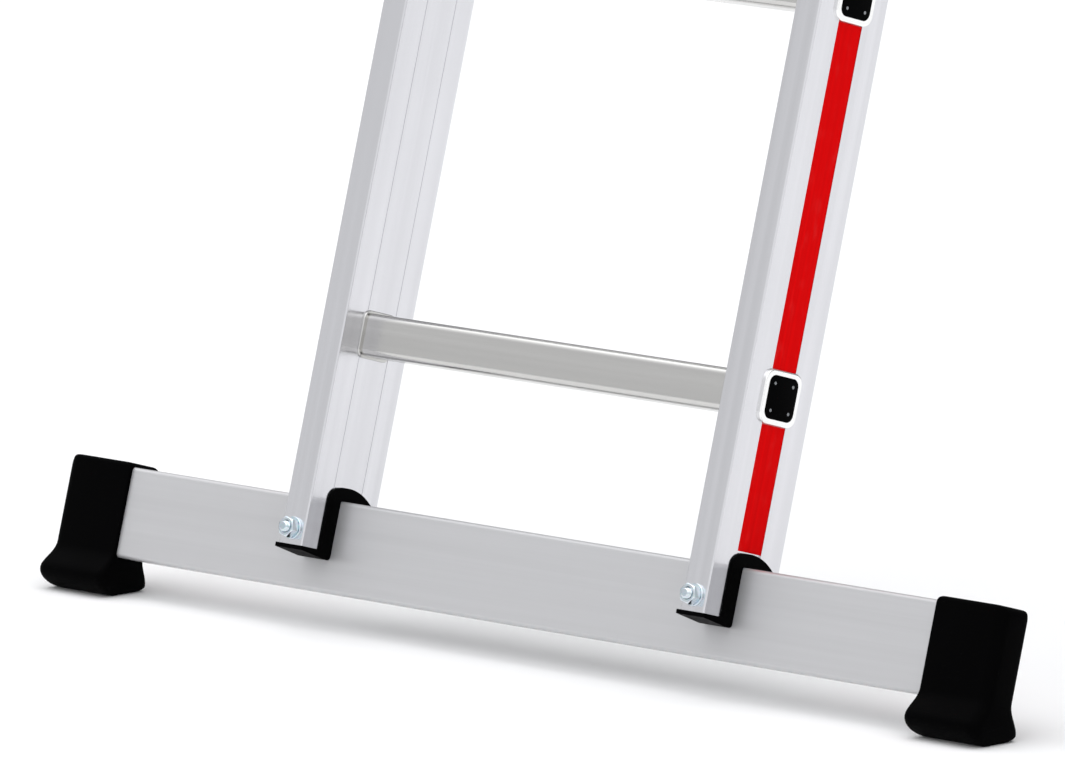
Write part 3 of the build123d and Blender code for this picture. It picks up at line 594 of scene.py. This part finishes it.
def make_traverse_fasteners():
    """Nuts, bolts with their threads' ends, and washers of the traverse."""
    low, high = upright_box("traverse_nuts")
    seat, thickness = high.y, high.y - low.y
    nuts = bmesh.new()
    bore = 4.0 * MM
    mouth, countersink = bore + 0.7 * MM, 0.6 * MM
    for x, z in bolt_places():
        profile = hex_profile(ACROSS_FLATS, thickness)
        profile += [(mouth, thickness), (bore, thickness - countersink)]
        profile += [(bore, countersink), (mouth, 0.0)]
        turned(nuts, (x, seat, z), (0, -1, 0), profile, closed=True, segments=48)
    finish_mesh("hex_nuts", nuts, "traverse_nuts", smooth_below=25.0)

    low, high = upright_box("traverse_bolts")
    washers_low, washers_high = upright_box("traverse_washers")
    bolts = bmesh.new()
    pitch, depth, shank = 1.25 * MM, 0.6 * MM, 3.92 * MM
    for x, z in bolt_places():
        tip = low.y
        rings = []
        steps = 80
        for step in range(steps + 1):
            along = 0.9 * MM + step * 12 * MM / steps

            def radius(angle, along=along):
                turn = (along / pitch + angle / (2 * math.pi)) % 1.0
                return shank - depth * (1 - abs(2 * turn - 1)) ** 1.5

            rings.append((radius, along))
        tip_chamfer = [(2.6 * MM, 0.0), (3.1 * MM, 0.25 * MM)]
        plain_shank = [(shank, 13.2 * MM), (shank, washers_high.y - tip)]
        turned(bolts, (x, tip, z), (0, 1, 0), tip_chamfer + rings + plain_shank, segments=24)
        head = hex_profile(ACROSS_FLATS, high.y - washers_high.y)
        turned(bolts, (x, washers_high.y, z), (0, 1, 0), head, segments=48)
    finish_mesh("hex_bolts", bolts, "traverse_bolts", smooth_below=25.0)

    washers = bmesh.new()
    thick, edge = 1.6 * MM, 0.25 * MM
    for x, z in bolt_places():
        for y in (washers_low.y, washers_high.y - thick):
            profile = [
                (4.05 * MM, 0.0),
                (8 * MM - edge, 0.0),
                (8 * MM, edge),
                (8 * MM, thick - edge),
                (8 * MM - edge, thick),
                (4.05 * MM, thick),
            ]
            turned(washers, (x, y, z), (0, 1, 0), profile, closed=True, segments=48)
    finish_mesh("flat_washers", washers, "traverse_washers", smooth_below=25.0)


def islands(node):
    """Boxes, in the upright frame, of a CAD node's separate solids."""
    loose = bmesh.new()
    loose.from_mesh(NODES[node].data)
    bmesh.ops.remove_doubles(loose, verts=loose.verts, dist=2e-6)
    seen, boxes = set(), []
    for vert in loose.verts:
        if vert.index in seen:
            continue
        group, queue = [], [vert]
        seen.add(vert.index)
        while queue:
            current = queue.pop()
            group.append(UPRIGHT @ current.co)
            for edge in current.link_edges:
                other = edge.other_vert(current)
                if other.index not in seen:
                    seen.add(other.index)
                    queue.append(other)
        boxes.append(
            (
                Vector(min(p[i] for p in group) for i in range(3)),
                Vector(max(p[i] for p in group) for i in range(3)),
            )
        )
    loose.free()
    return boxes


def make_rivets(node, inward):
    """Blind rivets along X: domed head with a mandrel hole, shank, and a bulbed tail.
    inward is the direction, towards or away from the middle, that the heads point to."""
    rivets = bmesh.new()
    for low, high in islands(node):
        middle = (low + high) / 2
        side = math.copysign(1.0, middle.x)
        points_out = side * inward
        head_x = high.x if points_out > 0 else low.x
        length = high.x - low.x
        head, head_radius = 1.8 * MM, (high.y - low.y) / 2
        dome = [(0.9 * MM, 0.7 * MM), (1.1 * MM, 0.05 * MM), (1.5 * MM, 0.0)]
        for step in range(1, 7):
            angle = step / 6 * math.pi / 2
            dome.append(
                (
                    1.5 * MM + (head_radius - 1.5 * MM) * math.sin(angle),
                    head * 0.92 * (1 - math.cos(angle)),
                )
            )
        tail = [
            (head_radius, head),
            (2.4 * MM, head),
            (2.4 * MM, length - 2.2 * MM),
            (3.7 * MM, length - 2.1 * MM),
            (3.8 * MM, length - 1.2 * MM),
            (2.6 * MM, length - 0.15 * MM),
            (1.0 * MM, length),
        ]
        turned(rivets, (head_x, middle.y, middle.z), (-points_out, 0, 0), dome + tail, segments=24)
    finish_mesh(f"{node}_domed", rivets, node, smooth_below=40.0)


# Hook pins, springs and rung beads ----------------------------------------------------------------


def swept(mesh_data, path, radius, closed=False, segments=10):
    """A round wire along a path of points."""
    points = [Vector(point) for point in path]
    rings = []
    normal = None
    for index, point in enumerate(points):
        if closed:
            ahead = points[(index + 1) % len(points)] - points[index - 1]
        else:
            ahead = points[min(index + 1, len(points) - 1)] - points[max(index - 1, 0)]
        ahead.normalize()
        if normal is None:
            normal = ahead.orthogonal().normalized()
        normal = (normal - ahead * normal.dot(ahead)).normalized()
        across = ahead.cross(normal)
        rings.append(
            [
                point + (normal * math.cos(turn) + across * math.sin(turn)) * radius
                for turn in (2 * math.pi * i / segments for i in range(segments))
            ]
        )
    loops = stack_rings(mesh_data, rings, cap_ends=not closed)
    if closed:
        first, last = loops[0], loops[-1]
        for i in range(segments):
            j = (i + 1) % segments
            mesh_data.faces.new((last[i], last[j], first[j], first[i]))


def make_springs():
    """Close-wound torsion springs round the hook pins, each with a leg held by its bracket."""
    pins_low, pins_high = upright_box("hook_pins")
    springs_high = upright_box("hook_springs")[1]
    pivot_y = (pins_low.y + pins_high.y) / 2
    pivot_z = (pins_low.z + pins_high.z) / 2
    wire, coil, turns = 0.8 * MM, 5.3 * MM, 3
    start_x, pitch = 161.7 * MM, 1.44 * MM
    bracket_x = springs_high.x
    springs = bmesh.new()
    for side in SIDES.values():
        path = []
        steps = 24
        for step in range(turns * steps + 1):
            angle = 2 * math.pi * step / steps
            x = start_x - pitch * (step / steps)
            y, z = pivot_y + coil * math.cos(angle), pivot_z + coil * math.sin(angle)
            path.append((side * x, y, z))
        end_x = start_x - pitch * turns
        leg_y, leg_top = pivot_y + coil, springs_high.z - wire
        bend = 1.6 * MM
        for share in (0.2, 0.4, 0.6, 0.8):
            path.append((side * end_x, leg_y, pivot_z + (leg_top - pivot_z) * share))
        for step in range(5):
            angle = step / 4 * math.pi / 2
            path.append(
                (
                    side * (end_x + bend * (1 - math.cos(angle))),
                    leg_y,
                    leg_top - bend * (1 - math.sin(angle)),
                )
            )
        path.append((side * bracket_x, leg_y, leg_top))
        swept(springs, path, wire, segments=12)
    finish_mesh("torsion_springs", springs, "hook_springs", smooth_below=50.0)


def make_pins():
    """Hook pins with a domed head and a chamfered neck."""
    pins = bmesh.new()
    low, high = upright_box("hook_pins")
    middle_y, middle_z = (low.y + high.y) / 2, (low.z + high.z) / 2
    inner = min(abs(box[index].x) for box in islands("hook_pins") for index in (0, 1))
    head = 2.5 * MM
    for side in SIDES.values():
        profile = [(3.2 * MM, 0.0)]
        for step in range(1, 6):
            angle = step / 5 * math.pi / 2
            radius = 3.2 * MM + 3.8 * MM * math.sin(angle)
            profile.append((radius, head * 0.7 * (1 - math.cos(angle))))
        profile += [(7 * MM, head - 0.2 * MM), (6.8 * MM, head)]
        profile += [(4 * MM, head), (4 * MM, high.x - inner)]
        turned(pins, (side * inner, middle_y, middle_z), (side, 0, 0), profile, segments=32)
    finish_mesh("domed_pins", pins, "hook_pins", smooth_below=40.0)


def make_beads(section):
    """Round beads where the rungs come out of the stiles' inner sides, all of one section."""
    beads = bmesh.new()
    for number in range(1, 9):
        rung = f"{section}_rung_{number}"
        low, high = upright_box(rung)
        middle_y, middle_z = (low.y + high.y) / 2, (low.z + high.z) / 2
        half, radius = 16.0 * MM, 0.95 * MM
        inner = 178 * MM
        outline = rounded_outline(
            (middle_y - half, middle_y + half), (middle_z - half, middle_z + half), 5.5 * MM, 5.5 * MM
        )
        for side in SIDES.values():
            swept(beads, [(side * (inner - 0.5 * MM), y, z) for y, z in outline], radius, closed=True)
    node = f"{section}_rung_1"
    finish_mesh(f"{section}_rung_beads", beads, node, smooth_below=60.0, stands_for_node=False)


def make_plugs(section):
    """Rung plugs of one section: a softly rounded face with a small round pip near each corner."""
    node = f"{section}_rung_plugs"
    plugs = bmesh.new()
    pips = bmesh.new()
    for low, high in islands(node):
        middle = (low + high) / 2
        side = math.copysign(1.0, middle.x)
        face, root = (high.x, low.x) if side > 0 else (low.x, high.x)
        half = (high.y - low.y) / 2
        neck = face - side * 2.1 * MM

        def ring(inset, x):
            reach = half - inset
            outline = rounded_outline(
                (middle.y - reach, middle.y + reach),
                (middle.z - reach, middle.z + reach),
                6 * MM - inset,
                6 * MM - inset,
            )
            return [(x, y, z) for y, z in outline]

        edge = 0.8 * MM
        shoulder, gap = 1.9 * MM, 0.05 * MM
        rings = [ring(shoulder, root), ring(shoulder, neck), ring(gap, neck)]
        for step in range(5):
            turn = step / 4 * math.pi / 2
            inset = gap + edge * (1 - math.cos(turn))
            rings.append(ring(inset, face - side * edge * (1 - math.sin(turn))))
        stack_rings(plugs, rings)
        pitch, pip = 9.4 * MM, 1.2 * MM
        for dy, dz in ((-pitch, -pitch), (pitch, -pitch), (pitch, pitch), (-pitch, pitch)):
            dome = []
            for step in range(6):
                turn = step / 5 * math.pi / 2
                dome.append((pip * math.sin(turn) + 0.05 * MM, pip * 0.5 * (1 - math.cos(turn))))
            place = (face + side * 0.45 * MM, middle.y + dy, middle.z + dz)
            turned(pips, place, (-side, 0, 0), dome, segments=16)
    finish_mesh(f"{section}_plugs_moulded", plugs, node, smooth_below=40.0)
    raised = finish_mesh(f"{section}_pips_painted_glint", pips, node, 40.0, stands_for_node=False)
    # The pips' light grey colour is a painted glint.
    raised.data.materials[0] = MATERIALS["pips_painted_glint"]


for side_name, side_sign in SIDES.items():
    make_boot(side_name, side_sign)
make_traverse_fasteners()
make_rivets("base_guide_rivets", 1)
make_rivets("fly_guide_rivets", 1)
make_rivets("hook_bracket_rivets", -1)
make_springs()
make_pins()
make_beads("base")
make_beads("fly")
for side_name in SIDES:
    soften(f"base_foot_cap_{side_name}", 0.8 * MM, segments=3)
    soften(f"base_guide_{side_name}", 0.5 * MM)
    soften(f"fly_guide_{side_name}", 0.5 * MM)
    soften(f"hook_bracket_{side_name}", 0.5 * MM)
    soften(f"hook_{side_name}", 0.9 * MM, segments=3)
soften("base_guide_liners", 0.4 * MM)
soften("fly_guide_liners", 0.4 * MM)
make_plugs("base")
make_plugs("fly")


# Stage, light and camera ----------------------------------------------------------------------


def make_floor():
    half = 150.0
    mesh = bpy.data.meshes.new("floor")
    corners = [(-half, -half, 0), (half, -half, 0), (half, half, 0), (-half, half, 0)]
    mesh.from_pydata(corners, [], [(0, 1, 2, 3)])
    floor = bpy.data.objects.new("floor", mesh)
    bpy.context.scene.collection.objects.link(floor)
    mesh.materials.append(pale_floor("pale_floor"))


def add_softbox(name, place, aim, size, watts):
    light = bpy.data.lights.new(name, "AREA")
    light.shape = "RECTANGLE"
    light.size, light.size_y = size
    light.energy = watts
    lamp = bpy.data.objects.new(name, light)
    lamp.location = place
    lamp.rotation_euler = (Vector(aim) - Vector(place)).to_track_quat("-Z", "Y").to_euler()
    bpy.context.scene.collection.objects.link(lamp)


def light_studio():
    """Light all round: bright overhead, softer near the horizon and darker low down behind."""
    world = bpy.data.worlds.new("studio")
    bpy.context.scene.world = world
    world.use_nodes = True
    tree = world.node_tree
    background = tree.nodes["Background"]
    place = tree.nodes.new("ShaderNodeTexCoord")
    split = tree.nodes.new("ShaderNodeSeparateXYZ")
    tree.links.new(place.outputs["Generated"], split.inputs[0])

    def product(first, second):
        node = tree.nodes.new("ShaderNodeMath")
        node.operation = "MULTIPLY"
        tree.links.new(first, node.inputs[0])
        tree.links.new(second, node.inputs[1])
        return node.outputs[0]

    def ramp(source, start, end, low, high):
        node = tree.nodes.new("ShaderNodeMapRange")
        for key, value in zip(("From Min", "From Max", "To Min", "To Max"), (start, end, low, high)):
            node.inputs[key].default_value = value
        tree.links.new(source, node.inputs["Value"])
        return node.outputs["Result"]

    toward_camera = tree.nodes.new("ShaderNodeVectorMath")
    toward_camera.operation = "DOT_PRODUCT"
    toward_camera.inputs[1].default_value = (0.7, -0.7, 0.0)
    tree.links.new(place.outputs["Generated"], toward_camera.inputs[0])
    behind = ramp(split.outputs["Y"], 0.1, 0.7, 1.0, 0.35)
    above = ramp(split.outputs["Z"], 0.35, 0.75, 0.77, 1.50)
    in_front = ramp(toward_camera.outputs["Value"], 0.2, 0.8, 1.0, 1.25)
    level = product(product(behind, above), in_front)
    background.inputs["Color"].default_value = (0.98, 0.985, 1.0, 1.0)
    tree.links.new(level, background.inputs["Strength"])
    add_softbox("overhead", (-1.5, -1.0, 6.0), (0, 0, 0.3), (6.5, 6.5), 75)
    bpy.context.scene.view_settings.view_transform = "Standard"


def place_camera():
    """A long lens from the front right, a little above, aimed at the base section's foot."""
    aim = Vector((-0.0169, 0.0377, 0.1859))
    distance, azimuth, elevation = 10.176, math.radians(42.71), math.radians(9.61)
    roll = math.radians(0.085)
    back = Vector(
        (
            math.sin(azimuth) * math.cos(elevation),
            -math.cos(azimuth) * math.cos(elevation),
            math.sin(elevation),
        )
    )
    camera = bpy.data.cameras.new("camera")
    camera.sensor_width = 36.0
    camera.lens = 496.8
    camera.clip_end = 500.0
    holder = bpy.data.objects.new("camera", camera)
    turn = (-back).to_track_quat("-Z", "Y").to_matrix().to_4x4() @ Matrix.Rotation(roll, 4, "Z")
    holder.matrix_world = Matrix.Translation(aim + back * distance) @ turn
    bpy.context.scene.collection.objects.link(holder)
    bpy.context.scene.camera = holder


make_floor()
light_studio()
place_camera()
